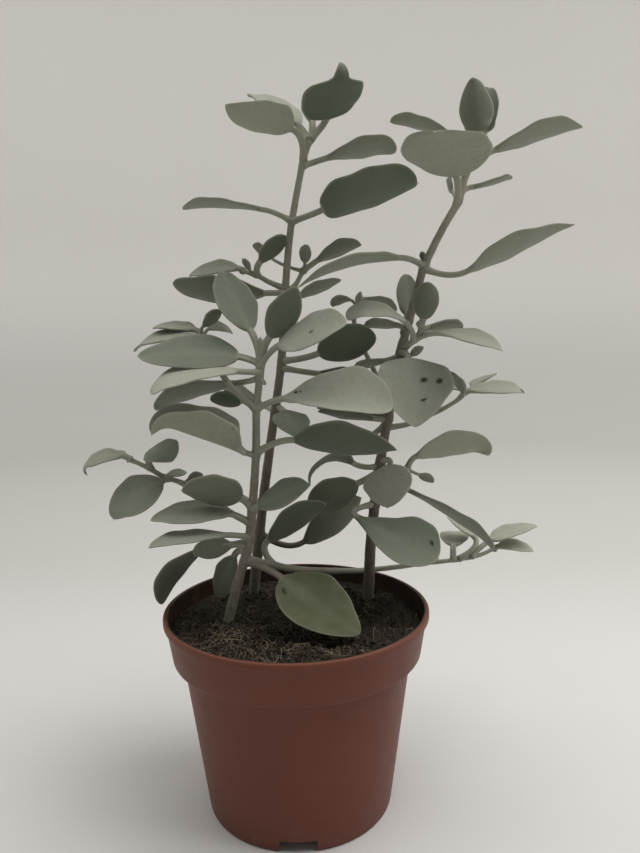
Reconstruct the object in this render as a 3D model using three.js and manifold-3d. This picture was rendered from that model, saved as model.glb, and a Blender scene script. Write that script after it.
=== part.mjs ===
// A potted silver-leaved kalanchoe: three felted stems with their shoots and paired leaves,
// rooted in peat in a round injection-moulded nursery pot.
// Millimetres, +Z up. The origin is the middle of the pot's underside, +X to the right, +Y away.
import * as THREE from "three";
import { mergeVertices } from "three/addons/utils/BufferGeometryUtils.js";
import Module from "manifold-3d";

const wasm = await Module();
wasm.setup();

// Pot
const potHeight = 106;
const rimRadius = 70;
const lipHeight = 4;
const lipWidth = 2.4;
const lipStep = 0.8;
const collarBottom = 83;
const collarFootRadius = 65.5;
const collarSet = 2.2;
const bodyTopRadius = 60.5;
const baseRadius = 49.3;
const wall = 1.3;
const edgeRound = 1;
const potSides = 40;

// Drain channels under the pot, each with a hole through its roof
const channelAzimuths = [0, 90, 180, 270];
const channelWidth = 20;
const channelHeight = 6.5;
const channelTaper = 1;
const channelInnerRadius = 24;
const drainHoleRadius = 5;
const drainHoleAt = 37;
const drainHoleSides = 16;
const cutPast = 8;

// Soil
const soilGap = 0.35;
const soilLevel = 97;
const soilTopRings = [58, 46, 34, 22, 11];
const soilEdgeBand = 8;
const ripples = [
  { height: 0.7, alongX: 0.11, alongY: 0.13 },
  { height: 0.4, alongX: 0.17, alongY: -0.2 },
];
const mounds = [
  { x: -32, y: -30, height: 4.5, spread: 17 },
  { x: 14, y: -52, height: 2.5, spread: 15 },
  { x: 38, y: 12, height: 2, spread: 12 },
  { x: 5, y: 20, height: -2.5, spread: 20 },
];

// Stems
const rootDepth = 20;
const stemHoleGap = 0.4;
const mainSides = 8;
const shootSides = 6;
const leastSteps = 3;

// Leaves
const stalkRadius = 1.6;
const youngStalkRadius = 0.8;
const stalkFlatness = 0.87;
const stalkElbow = 0.45;
const youngBlade = 18;
const bladeHalfThickness = 0.85;
const tipThinning = 0.4;
const bladeRings = [0, 0.1, 0.28, 0.52, 0.78, 0.94];
const youngBladeRings = [0, 0.25, 0.7];

// Each shoot has a path of points along its middle, and the radii at its foot and at its end.
// Each row of leaves gives, in millimetres and degrees:
// at      distance along the shoot to where the leaf is attached
// turn    direction of the stalk seen from above, 0 to the right, 90 away, 180 to the left
// rise    angle of the stalk above the horizontal
// stalk   length of the stalk
// swing   how far the blade turns on from the stalk's direction
// lift    angle of the blade's chord above the horizontal
// blade   length of the blade
// width   greatest width of the blade
// arch    how far the blade bends down from its base to its tip
// roll    twist of the blade about its length, positive with the right edge up
// cup     how far each half of the blade curls up
const shoots = [
  {
    // front stem
    node: "leafy_stem_front",
    rooted: true,
    radii: [2.4, 1.6],
    path: [
      [-37, 0, 97],
      [-31, -1, 119],
      [-25, -1, 138],
      [-22, -2, 158],
      [-19, -3, 188],
      [-18, -4, 210],
      [-16, -5, 226],
      [-15, -5, 236],
    ],
    leaves: [
      [141, 145, 70, 17, 0, 60, 35, 22, -10, 25, 12],
      [141, 330, 65, 14, 0, 55, 29, 16, -10, 55, 12],
      [141, 180, 85, 3, -130, 85, 10, 4, 0, -5, 12],
      [141, 70, 60, 4, 0, 70, 9, 3, 0, 90, 12],
      [140, 170, 20, 12, 15, 0, 50, 30, 22, 35, 12],
      [139, 325, 40, 16, 5, 15, 40, 26, 15, -45, 12],
      [136, 210, 5, 12, -15, -10, 45, 27, 30, 15, 12],
      [133, 145, -10, 15, 20, -15, 50, 30, 15, -15, 12],
      [117, 135, 5, 11, -15, 0, 36, 22, 15, -40, 12],
      [117, 330, 20, 17, 15, -5, 56, 39, 30, -30, 18],
      [93, 205, 25, 8, -10, 15, 50, 38, 15, -45, 50],
      [94, 350, 20, 21, 0, -5, 53, 32, 10, 40, 12],
      [63, 210, 50, 10, -10, 15, 31, 24, 20, -50, 12],
      [56, 195, 30, 13, -5, 0, 40, 24, 15, 15, 12],
      [49, 215, 15, 14, -10, 0, 40, 24, 15, 0, 12],
      [47, 170, -15, 10, 15, -10, 21, 12, 10, -90, 12],
      [44, 170, -5, 24, -5, -50, 44, 22, 50, -20, 12],
      [40, 130, -20, 13, 30, -65, 27, 16, 0, 75, 12],
      [65, 300, 15, 7, 40, 25, 31, 18, 10, -45, 12],
      [35, 335, -15, 23, -5, -25, 50, 36, -5, -20, 12],
    ],
  },
  {
    // tall stem
    node: "leafy_stem_tall",
    rooted: true,
    radii: [2.8, 1.4],
    path: [
      [-27, 42, 98],
      [-24, 41, 121],
      [-19, 38, 157],
      [-16, 36, 176],
      [-9, 33, 218],
      [-6, 31, 238],
      [-3, 29, 275],
      [0, 28, 302],
      [3, 28, 318],
      [8, 27, 340],
      [12, 27, 352],
    ],
    leaves: [
      [246, 235, 55, 17, -25, 5, 38, 29, 15, -15, 12],
      [256, 120, 45, 16, 20, 35, 44, 26, 15, 10, 12],
      [257, 10, 50, 15, -80, 35, 34, 36, -25, -15, 12],
      [257, 65, 70, 11, 45, 70, 19, 10, -5, 0, 12],
      [243, 20, 20, 14, -10, 10, 40, 24, 15, 15, 12],
      [214, 340, 15, 18, 10, 15, 52, 39, 10, 20, 12],
      [214, 165, 25, 17, 0, 5, 48, 29, 15, 0, 12],
      [176, 195, 0, 11, -10, 5, 50, 30, -14, -25, 12],
      [173, 330, 5, 9, 15, 20, 25, 15, -5, 15, 12],
      [139, 350, 10, 21, 5, 15, 33, 23, 10, 60, 12],
      [135, 10, -10, 21, 20, -15, 32, 19, 15, 30, 12],
      [114, 310, -25, 8, -15, -25, 21, 15, 15, -30, 12],
      [37, 10, -15, 27, 5, 35, 43, 26, -15, 45, 12],
      [57, 130, -5, 19, 5, 5, 39, 23, 15, -50, 12],
      [110, 120, 10, 17, 15, 10, 35, 21, 15, -50, 12],
    ],
  },
  {
    // right stem
    node: "leafy_stem_right",
    rooted: true,
    radii: [2.9, 1.5],
    path: [
      [40, 29, 97],
      [42, 28, 133],
      [44, 27, 151],
      [48, 26, 180],
      [52, 24, 204],
      [58, 21, 235],
      [61, 20, 248],
      [68, 18, 274],
      [71, 17, 284],
      [80, 16, 302],
      [88, 15, 316],
      [92, 14, 330],
      [97, 13, 346],
    ],
    leaves: [
      [258, 275, 30, 5, -60, 80, 23, 16, -25, -35, 45],
      [258, 45, 35, 8, -10, 80, 22, 15, 25, -35, 45],
      [227, 250, 55, 14, -5, 15, 43, 44, 0, 0, 12],
      [241, 130, 65, 23, 25, 20, 35, 21, 20, -10, 12],
      [243, 10, 35, 17, -5, 15, 50, 30, 15, 10, 12],
      [228, 45, 35, 13, -15, 15, 32, 19, -10, 5, 12],
      [226, 95, 40, 12, 0, 35, 14, 9, 15, -85, 12],
      [189, 355, -5, 23, 0, 20, 58, 35, 5, 15, 12],
      [190, 205, 15, 16, -10, -15, 57, 26, 30, -10, 12],
      [160, 90, 35, 7, -5, 70, 24, 15, -10, -25, 25],
      [147, 105, 65, 12, 45, 0, 21, 13, 20, -25, 12],
      [144, 325, -25, 6, 50, 30, 9, 5, 15, 80, 12],
      [142, 160, -20, 9, -5, -15, 20, 12, 15, -20, 12],
      [143, 285, -15, 10, 5, -75, 37, 45, 10, 5, 8],
      [108, 165, 10, 10, 0, 5, 31, 19, 15, -25, 12],
      [106, 195, 5, 8, -10, 10, 31, 19, 0, -25, 12],
      [105, 125, -35, 15, -5, -30, 29, 18, 15, -5, 12],
      [82, 300, -5, 9, -45, -65, 24, 34, 5, -30, 12],
      [79, 190, 0, 20, 10, -35, 25, 22, 70, -60, 12],
      [76, 170, -30, 14, 0, -30, 27, 18, 10, -70, 12],
      [71, 10, -20, 18, -5, -35, 62, 37, 10, 10, 12],
      [57, 225, -15, 13, 105, -25, 46, 42, -10, -20, 25],
    ],
  },
  {
    // front stem, shoot behind
    node: "leafy_stem_front",
    rooted: false,
    radii: [1.7, 1.2],
    path: [
      [-18, -4, 212],
      [-27, -4, 220],
      [-34, -2, 228],
      [-41, 5, 241],
      [-46, 10, 249],
    ],
    leaves: [
      [50, 135, 30, 7, 25, 5, 27, 16, 20, 15, 12],
      [50, 285, 60, 6, 85, 40, 13, 8, 10, 55, 12],
      [49, 55, 50, 6, -15, -10, 16, 10, 70, -35, 12],
      [47, 180, 20, 8, -15, -10, 35, 21, 30, 20, 12],
    ],
  },
  {
    // front stem, long shoot to the left
    node: "leafy_stem_front",
    rooted: false,
    radii: [1.7, 1.0],
    path: [
      [-23, -2, 152],
      [-33, 2, 156],
      [-40, 5, 160],
      [-59, 9, 171],
      [-70, 10, 175],
      [-78, 10, 180],
      [-89, 8, 186],
    ],
    leaves: [
      [74, 195, 30, 5, -10, -20, 25, 14, 55, 40, 12],
      [62, 180, 85, 9, 135, -5, 23, 20, 60, -30, 12],
      [52, 250, -5, 5, -45, -30, 32, 25, 15, 35, 12],
      [53, 85, 10, 4, -50, 0, 11, 6, 15, -35, 12],
      [42, 65, 35, 3, -40, 15, 9, 6, 15, 80, 12],
      [75, 130, 10, 5, 5, 5, 14, 8, 15, 0, 12],
    ],
  },
  {
    // front stem, long low shoot to the right
    node: "leafy_stem_front",
    rooted: false,
    radii: [1.9, 1.0],
    path: [
      [-26, -1, 132],
      [-15, 6, 127],
      [2, 16, 120],
      [30, 36, 112],
      [41, 43, 110],
      [61, 48, 110],
      [74, 50, 111],
      [93, 52, 112],
      [109, 54, 114],
      [119, 55, 118],
    ],
    leaves: [
      [17, 130, 70, 13, -115, 30, 38, 23, 15, 55, 12],
      [137, 80, 60, 9, -5, 10, 21, 18, 15, 0, 12],
      [148, 15, 35, 17, -5, 15, 30, 18, 15, -5, 12],
      [163, 30, 10, 4, -20, -10, 24, 15, 35, -15, 12],
      [140, 20, 50, 17, 120, 30, 21, 13, 10, 0, 12],
    ],
  },
  {
    // tall stem, short shoot to the left
    node: "leafy_stem_tall",
    rooted: false,
    radii: [1.4, 1.0],
    path: [
      [-3, 29, 274],
      [-12, 31, 278],
      [-19, 33, 282],
      [-28, 34, 285],
    ],
    leaves: [
      [18, 295, 50, 9, 50, 40, 20, 12, 10, 35, 12],
      [26, 140, 25, 4, 30, -5, 30, 18, 25, 30, 12],
      [21, 255, 30, 4, -45, 55, 7, 4, 15, -40, 12],
    ],
  },
  {
    // tall stem, short shoot to the right
    node: "leafy_stem_tall",
    rooted: false,
    radii: [1.4, 1.0],
    path: [
      [-3, 29, 272],
      [2, 32, 276],
      [5, 35, 281],
      [8, 36, 287],
    ],
    leaves: [
      [18, 295, 60, 4, 100, 80, 10, 7, 15, 90, 12],
      [17, 15, 35, 10, -5, 20, 27, 16, 25, 30, 12],
      [17, 175, 25, 21, -30, 30, 13, 8, 15, -60, 12],
    ],
  },
  {
    // right stem, young shoot in front
    node: "leafy_stem_right",
    rooted: false,
    radii: [1.6, 1.2],
    path: [
      [60, 20, 241],
      [64, 16, 244],
      [68, 13, 249],
      [68, 11, 254],
    ],
    leaves: [
      [18, 280, 35, 5, 25, 80, 17, 12, -20, 35, 30],
      [15, 15, 15, 4, 10, 0, 22, 13, 20, 25, 12],
      [8, 335, 15, 14, 10, -15, 34, 20, 25, -20, 12],
      [8, 235, 45, 14, -35, 5, 34, 20, 60, 25, 12],
    ],
  },
  {
    // right stem, shoot behind
    node: "leafy_stem_right",
    rooted: false,
    radii: [1.4, 1.0],
    path: [
      [52, 24, 210],
      [45, 34, 229],
      [36, 37, 248],
      [34, 37, 261],
    ],
    leaves: [
      [54, 150, 80, 10, 20, -15, 12, 7, 70, -45, 12],
      [55, 20, 50, 12, -5, -20, 20, 12, 35, 20, 12],
      [56, 340, 45, 5, 20, 85, 9, 6, 15, 45, 12],
    ],
  },
  {
    // right stem, shoot to the right
    node: "leafy_stem_right",
    rooted: false,
    radii: [1.5, 1.0],
    path: [
      [50, 25, 197],
      [64, 27, 199],
      [79, 28, 205],
      [90, 28, 211],
      [95, 28, 216],
    ],
    leaves: [
      [50, 320, 15, 3, 35, 0, 30, 18, 20, -20, 12],
      [46, 290, 35, 4, -80, 50, 17, 10, 30, 0, 12],
      [48, 70, 30, 5, 40, 5, 13, 8, 15, 20, 12],
      [50, 45, 15, 9, 5, 15, 24, 15, 15, 15, 12],
    ],
  },
  {
    // right stem, low shoot to the right
    node: "leafy_stem_right",
    rooted: false,
    radii: [1.5, 1.1],
    path: [
      [46, 26, 171],
      [55, 26, 171],
      [63, 25, 174],
    ],
    leaves: [
      [17, 340, 55, 9, 25, -5, 44, 27, 35, 40, 12],
      [17, 350, -25, 7, 30, -30, 11, 7, 20, 40, 12],
    ],
  },
];

const colours = {
  pot: "#7a4a3c",
  soil: "#2b231d",
  leaf: "#8a937c",
};

const radians = THREE.MathUtils.degToRad;

// Rings of points joined into one closed surface: a cap at the first ring, a point past the last.
// Every ring has the same number of points, and runs anticlockwise seen from the tip.
// Faces on the two halves of a ring are split along mirrored diagonals.
function loft(rings, tip) {
  const count = rings[0].length;
  const positions = [...rings.flat(), tip].flatMap((p) => [p.x, p.y, p.z]);
  const index = [];
  for (let k = 1; k < count - 1; k++) {
    index.push(0, k + 1, k);
  }
  for (let i = 0; i < rings.length - 1; i++) {
    const here = i * count;
    const next = here + count;
    for (let k = 0; k < count; k++) {
      const n = (k + 1) % count;
      if (k < count / 2) {
        index.push(here + k, here + n, next + n, here + k, next + n, next + k);
      } else {
        index.push(here + k, here + n, next + k, here + n, next + n, next + k);
      }
    }
  }
  const last = (rings.length - 1) * count;
  for (let k = 0; k < count; k++) {
    index.push(last + k, last + ((k + 1) % count), rings.length * count);
  }
  return new THREE.BufferGeometry()
    .setAttribute("position", new THREE.Float32BufferAttribute(positions, 3))
    .setIndex(index);
}

function solid(geometry) {
  const bare = geometry.clone();
  bare.deleteAttribute("normal");
  bare.deleteAttribute("uv");
  const merged = mergeVertices(bare, 1e-4);
  return new wasm.Manifold(
    new wasm.Mesh({
      numProp: 3,
      vertProperties: new Float32Array(merged.attributes.position.array),
      triVerts: new Uint32Array(merged.index.array),
    }),
  );
}

function geometryOf(body) {
  const mesh = body.getMesh();
  return new THREE.BufferGeometry()
    .setAttribute("position", new THREE.BufferAttribute(mesh.vertProperties, 3))
    .setIndex(new THREE.BufferAttribute(mesh.triVerts, 1));
}

// The largest body: hollows that the joining sealed are filled, and loose scraps are left out.
function wholeBody(body) {
  const parts = body.decompose();
  parts.sort((a, b) => b.volume() - a.volume());
  return parts[0];
}

function curveOf(shoot) {
  const points = shoot.path.map(([x, y, z]) => new THREE.Vector3(x, y, z));
  return new THREE.CatmullRomCurve3(points, false, "catmullrom", 0.5);
}

// A round tapering stem along its path. A rooted one goes straight down from its first point.
// extra widens it all round, and depth is how far the root goes down.
function stemGeometry(shoot, extra, depth) {
  const curve = curveOf(shoot);
  const sides = shoot.rooted ? mainSides : shootSides;
  const reference = shoot.rooted ? new THREE.Vector3(1, 0, 0) : new THREE.Vector3(0, 0, 1);
  const steps = Math.max(leastSteps, shoot.path.length - 1);
  const stations = [];
  if (shoot.rooted) {
    const root = curve.getPoint(0).setZ(shoot.path[0][2] - depth);
    stations.push({ at: root, along: curve.getTangent(0), share: 0 });
  }
  for (let i = 0; i <= steps; i++) {
    const share = i / steps;
    stations.push({ at: curve.getPointAt(share), along: curve.getTangentAt(share), share });
  }
  const rings = stations.map(({ at, along, share }) => {
    const radius = THREE.MathUtils.lerp(shoot.radii[0], shoot.radii[1], share) + extra;
    const up = new THREE.Vector3().crossVectors(along, reference).normalize();
    const side = new THREE.Vector3().crossVectors(up, along);
    return Array.from({ length: sides }, (_, k) => {
      const angle = (2 * Math.PI * k) / sides;
      return at
        .clone()
        .addScaledVector(side, radius * Math.cos(angle))
        .addScaledVector(up, radius * Math.sin(angle));
    });
  });
  const end = curve.getPoint(1).addScaledVector(curve.getTangent(1), shoot.radii[1] + extra);
  return loft(rings, end);
}

// A unit vector from its direction seen from above and its angle above the horizontal.
function heading(turn, pitch) {
  return new THREE.Vector3(
    Math.cos(pitch) * Math.cos(turn),
    Math.cos(pitch) * Math.sin(turn),
    Math.sin(pitch),
  );
}

// Half width of an ovate blade as a share of its greatest half width, 0 at the base and the tip.
function outline(s) {
  return Math.sin(Math.PI * s ** 0.75) ** 0.8;
}

// Six points round a leaf's middle line: left edge, two above, right edge, two below.
// The line across the leaf is an arc that turns up by the cup angle at each edge.
function leafRing(middle, side, up, halfWidth, halfThickness, cup) {
  const place = (t, lift) => {
    const across = (halfWidth * Math.sin(cup * t)) / cup;
    const above = (halfWidth * (1 - Math.cos(cup * t))) / cup + lift;
    return middle.clone().addScaledVector(side, across).addScaledVector(up, above);
  };
  return [
    place(-1, 0),
    place(-0.5, halfThickness),
    place(0.5, halfThickness),
    place(1, 0),
    place(0.5, -halfThickness),
    place(-0.5, -halfThickness),
  ];
}

// One leaf, its stalk and its blade as one closed surface. The stalk bends in an even curve from
// the shoot into the blade's own direction.
function leafGeometry(curve, row) {
  const [at, turn, rise, stalk, swing, lift, blade, width, arch, roll, cup] = row;
  const young = blade < youngBlade;
  const radius = young ? youngStalkRadius : stalkRadius;
  const course = radians(turn + swing);
  const pitchAt = (s) => radians(lift + arch * (0.5 - s));
  const frameAt = (s) => {
    const along = heading(course, pitchAt(s));
    const level = new THREE.Vector3(Math.sin(course), -Math.cos(course), 0);
    const above = new THREE.Vector3().crossVectors(level, along);
    const side = level
      .multiplyScalar(Math.cos(radians(roll)))
      .addScaledVector(above, Math.sin(radians(roll)));
    const up = new THREE.Vector3().crossVectors(side, along);
    return { along, side, up };
  };

  const root = curve.getPointAt(Math.min(1, at / curve.getLength()));
  const joint = root.clone().addScaledVector(heading(radians(turn), radians(rise)), stalk);
  const start = frameAt(0);
  const elbow = joint.clone().addScaledVector(start.along, -stalkElbow * stalk);
  const stalkCurve = new THREE.QuadraticBezierCurve3(root, elbow, joint);
  const rings = [0, 0.5].map((share) => {
    const along = stalkCurve.getTangent(share);
    const side = start.side.clone().projectOnPlane(along).normalize();
    const up = new THREE.Vector3().crossVectors(side, along);
    const flat = radians(1);
    return leafRing(stalkCurve.getPoint(share), side, up, radius, stalkFlatness * radius, flat);
  });

  const middle = joint.clone();
  let before = 0;
  const advance = (s) => {
    middle.addScaledVector(heading(course, pitchAt((s + before) / 2)), blade * (s - before));
    before = s;
  };
  for (const s of young ? youngBladeRings : bladeRings) {
    advance(s);
    const { side, up } = frameAt(s);
    const halfWidth = Math.max((width / 2) * outline(s), radius);
    const halfThickness = s === 0 ? stalkFlatness * radius : bladeHalfThickness * (1 - tipThinning * s);
    rings.push(leafRing(middle, side, up, halfWidth, halfThickness, radians(cup)));
  }
  advance(1);
  return loft(rings, middle);
}

// A stem with its side shoots and all their leaves, grown as one piece.
function leafyStem(node) {
  const bodies = [];
  for (const shoot of shoots.filter((each) => each.node === node)) {
    const curve = curveOf(shoot);
    bodies.push(solid(stemGeometry(shoot, 0, rootDepth)));
    for (const row of shoot.leaves) {
      bodies.push(solid(leafGeometry(curve, row)));
    }
  }
  return wholeBody(bodies.reduce((all, body) => all.add(body)));
}

// A profile of [radius, height] points turned about +Z.
function turned(profile) {
  const points = profile.map(([radius, height]) => new THREE.Vector2(radius, height));
  return new THREE.LatheGeometry(points, potSides).rotateX(Math.PI / 2);
}

// The radius of the pot's outside on its straight body, at height z.
function bodyRadius(z) {
  return baseRadius + ((bodyTopRadius - baseRadius) * z) / collarBottom;
}

// The radius of the pot's outside on its collar, at height z.
function collarRadius(z) {
  const share = (z - collarBottom) / (potHeight - collarBottom);
  return collarFootRadius + (rimRadius - lipStep - collarFootRadius) * share;
}

// The thin-walled pot with its collar and lip, and its drain channels.
function potBody() {
  const lipBottom = potHeight - lipHeight;
  const shelf = collarBottom + collarSet;
  const shell = turned([
    [0, 0],
    [baseRadius - edgeRound, 0],
    [baseRadius, edgeRound],
    [bodyRadius(collarBottom), collarBottom],
    [collarFootRadius - edgeRound, collarBottom],
    [collarFootRadius, collarBottom + edgeRound],
    [collarRadius(lipBottom), lipBottom],
    [rimRadius, lipBottom + lipStep],
    [rimRadius, potHeight - edgeRound],
    [rimRadius - edgeRound, potHeight],
    [rimRadius - lipWidth, potHeight],
    [collarRadius(lipBottom) - wall, lipBottom - edgeRound],
    [collarRadius(shelf) - wall, shelf],
    [bodyRadius(collarBottom) - wall, collarBottom],
    [bodyRadius(wall) - wall, wall],
    [0, wall],
  ]);
  const housings = channelAzimuths.map((azimuth) => solid(channelHousing(azimuth, 0)));
  const spaces = channelAzimuths.map((azimuth) => solid(channelSpace(azimuth)));
  const holes = channelAzimuths.map((azimuth) => solid(drainHole(azimuth)));
  const joined = housings.reduce((all, each) => all.add(each), solid(shell));
  return wholeBody([...spaces, ...holes].reduce((rest, each) => rest.subtract(each), joined));
}

// The raised roof and sides of one drain channel, inside the pot. gap widens it all round.
function channelHousing(azimuth, gap) {
  const inner = channelInnerRadius - wall - gap;
  const outer = bodyRadius(channelHeight) - wall / 2;
  const bottom = wall / 2;
  const top = channelHeight + wall + gap;
  return new THREE.BoxGeometry(outer - inner, channelWidth + 2 * (wall + gap), top - bottom)
    .translate((inner + outer) / 2, 0, (bottom + top) / 2)
    .rotateZ(radians(azimuth));
}

// The open space of one drain channel: it leaves through the foot of the wall as a notch.
function channelSpace(azimuth) {
  const length = baseRadius + cutPast - channelInnerRadius;
  const half = channelWidth / 2;
  const section = new THREE.Shape([
    new THREE.Vector2(-half, -1),
    new THREE.Vector2(half, -1),
    new THREE.Vector2(half - channelTaper, channelHeight),
    new THREE.Vector2(channelTaper - half, channelHeight),
  ]);
  return new THREE.ExtrudeGeometry(section, { depth: length, bevelEnabled: false })
    .rotateX(Math.PI / 2)
    .rotateZ(Math.PI / 2)
    .translate(channelInnerRadius, 0, 0)
    .rotateZ(radians(azimuth));
}

function drainHole(azimuth) {
  return new THREE.CylinderGeometry(drainHoleRadius, drainHoleRadius, cutPast, drainHoleSides)
    .rotateX(Math.PI / 2)
    .translate(drainHoleAt, 0, channelHeight + wall)
    .rotateZ(radians(azimuth));
}

// How far the soil's top stands above its level at its edge.
function soilRelief(x, y) {
  const waves = ripples.map((w) => w.height * Math.sin(w.alongX * x + w.alongY * y));
  const heaps = mounds.map((m) => {
    const away = Math.hypot(x - m.x, y - m.y) / m.spread;
    return m.height * Math.exp(-(away ** 2));
  });
  return [...waves, ...heaps].reduce((sum, each) => sum + each, 0);
}

// The soil fills the pot to its collar, over the drain channels, with a plain hole for each stem.
function soilBody() {
  const inside = wall + soilGap;
  const shelf = collarBottom + collarSet;
  const edge = collarRadius(soilLevel) - inside;
  const geometry = turned([
    [0, inside],
    [bodyRadius(inside) - inside, inside],
    [bodyRadius(collarBottom) - inside, collarBottom + soilGap],
    [collarRadius(shelf) - inside, shelf + soilGap],
    [edge, soilLevel],
    ...soilTopRings.map((radius) => [radius, soilLevel]),
    [0, soilLevel],
  ]);
  const position = geometry.getAttribute("position");
  for (let i = 0; i < position.count; i++) {
    const x = position.getX(i);
    const y = position.getY(i);
    if (position.getZ(i) > shelf + edgeRound) {
      const rise = THREE.MathUtils.smoothstep(edge - Math.hypot(x, y), 0, soilEdgeBand);
      position.setZ(i, soilLevel + rise * soilRelief(x, y));
    }
  }
  const roots = shoots.filter((each) => each.rooted);
  const cuts = [
    ...channelAzimuths.map((azimuth) => channelHousing(azimuth, soilGap)),
    ...roots.map((shoot) => stemGeometry(shoot, stemHoleGap, rootDepth + stemHoleGap)),
  ];
  return wholeBody(cuts.reduce((rest, cut) => rest.subtract(solid(cut)), solid(geometry)));
}

function part(name, body, colour, roughness) {
  const material = new THREE.MeshStandardMaterial({ color: colour, roughness, metalness: 0 });
  const mesh = new THREE.Mesh(geometryOf(body), material);
  mesh.name = name;
  return mesh;
}

const plant = new THREE.Group();
plant.add(part("pot", potBody(), colours.pot, 0.45));
plant.add(part("soil", soilBody(), colours.soil, 0.95));
for (const node of ["leafy_stem_front", "leafy_stem_tall", "leafy_stem_right"]) {
  plant.add(part(node, leafyStem(node), colours.leaf, 0.85));
}

export default plant;
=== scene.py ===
import bpy
import numpy as np
from mathutils import Matrix


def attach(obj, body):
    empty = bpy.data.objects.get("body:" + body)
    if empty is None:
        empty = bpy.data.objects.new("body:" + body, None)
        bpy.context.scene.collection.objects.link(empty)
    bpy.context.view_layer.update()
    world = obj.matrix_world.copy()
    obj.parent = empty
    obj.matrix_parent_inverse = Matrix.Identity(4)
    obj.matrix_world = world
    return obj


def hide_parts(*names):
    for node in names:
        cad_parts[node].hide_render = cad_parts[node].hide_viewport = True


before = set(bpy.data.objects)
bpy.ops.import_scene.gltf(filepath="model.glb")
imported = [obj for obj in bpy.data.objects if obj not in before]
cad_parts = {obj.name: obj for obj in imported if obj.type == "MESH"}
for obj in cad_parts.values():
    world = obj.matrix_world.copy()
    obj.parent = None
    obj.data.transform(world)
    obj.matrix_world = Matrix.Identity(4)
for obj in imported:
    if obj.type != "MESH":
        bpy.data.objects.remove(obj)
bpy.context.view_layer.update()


# Camera
# A 30 mm lens on a 36 mm frame, a little above the middle of the plant and looking slightly down.
# Its place and tilt come from the ellipses of the pot's rim, collar and foot in the photograph.
camera_place = (14.3, -364.7, 247.9)
camera_down = 7.21
camera_lean = -1.106


def camera_turn(down, lean):
    """Columns right, up and back: the view along +Y is pitched down, then leant about itself."""
    pitch, roll = np.radians([down, lean])
    forward = np.array([0, np.cos(pitch), -np.sin(pitch)])
    level = np.array([1.0, 0, 0])
    above = np.array([0, np.sin(pitch), np.cos(pitch)])
    right = np.cos(roll) * level + np.sin(roll) * above
    up = -np.sin(roll) * level + np.cos(roll) * above
    return np.stack([right, up, -forward], axis=1)


def stand(thing, place, columns):
    """Put a lamp or camera in the scene, at a place in millimetres, with these columns as its
    right, up and back."""
    turn = Matrix(columns.tolist()).to_4x4()
    thing.matrix_world = Matrix.Translation(np.array(place) / 1000) @ turn
    bpy.context.scene.collection.objects.link(thing)


camera = bpy.data.objects.new("camera", bpy.data.cameras.new("camera"))
camera.data.lens = 30
camera.data.sensor_width = 36
camera.data.clip_start = 0.01
stand(camera, camera_place, camera_turn(camera_down, camera_lean))
bpy.context.scene.camera = camera


# Floor and backdrop
# One pale, seamless sweep: a flat floor that curves up into a round wall on every side.
# It isn't part of the object.
sweep_floor = 1300
sweep_bend = 600
sweep_height = 2400
sweep_sides = 96
sweep_bend_steps = 17


def mesh_object(name, points, faces):
    """A mesh of points in millimetres, as an object at the origin, with every face smooth."""
    mesh = bpy.data.meshes.new(name)
    mesh.from_pydata((np.asarray(points) / 1000).tolist(), [], faces)
    mesh.polygons.foreach_set("use_smooth", np.ones(len(mesh.polygons), bool))
    mesh.update()
    made = bpy.data.objects.new(name, mesh)
    bpy.context.scene.collection.objects.link(made)
    return made


def ring_quads(rings, sides):
    """Quads between neighbouring rings of points. They face outwards where the rings run
    anticlockwise seen from the last one."""
    ring, side = np.meshgrid(np.arange(rings - 1), np.arange(sides), indexing="ij")
    here, after = ring * sides, (side + 1) % sides
    corners = [here + side, here + after, here + sides + after, here + sides + side]
    return np.stack(corners, axis=-1).reshape(-1, 4)


def turned(profile, sides):
    """A profile of (radius, height) points turned about +Z: radius times the cosine and sine of
    evenly spaced angles, at the profile's height."""
    radius, height = np.asarray(profile, float).T
    angle = np.linspace(0, 2 * np.pi, sides, endpoint=False)
    x = np.outer(radius, np.cos(angle))
    y = np.outer(radius, np.sin(angle))
    z = np.outer(height, np.ones(sides))
    return np.stack([x, y, z], axis=-1)


class Channel:
    """A socket among a material's nodes. Arithmetic on it adds Math nodes, and node() adds any
    other kind from its type, its settings, and the values or links of its sockets."""

    def __init__(self, tree, socket=None):
        self.tree = tree
        self.socket = socket

    def node(self, kind, settings=None, inputs=None, output=0):
        made = self.tree.nodes.new(kind)
        for name, value in (settings or {}).items():
            setattr(made, name, value)
        for name, value in (inputs or {}).items():
            if isinstance(value, Channel):
                self.tree.links.new(value.socket, made.inputs[name])
            else:
                made.inputs[name].default_value = value
        return Channel(self.tree, made.outputs[output] if len(made.outputs) else None)

    def maths(self, operation, first, second):
        return self.node("ShaderNodeMath", {"operation": operation}, {0: first, 1: second})

    def __add__(self, other):
        return self.maths("ADD", self, other)

    def __sub__(self, other):
        return self.maths("SUBTRACT", self, other)

    def __rsub__(self, other):
        return self.maths("SUBTRACT", other, self)

    def __mul__(self, other):
        return self.maths("MULTIPLY", self, other)

    __radd__ = __add__
    __rmul__ = __mul__


def start_material(name):
    """An empty material, and the channel that its nodes are made from."""
    material = bpy.data.materials.new(name)
    material.use_nodes = True
    material.node_tree.nodes.clear()
    return material, Channel(material.node_tree)


def object_place(nodes):
    """The point being shaded, in the object's own metres."""
    return nodes.node("ShaderNodeTexCoord", output=3)


def axis_of(place, axis):
    """One axis of a place: 0 for x, 1 for y, 2 for z."""
    return place.node("ShaderNodeSeparateXYZ", None, {"Vector": place}, output=axis)


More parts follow.
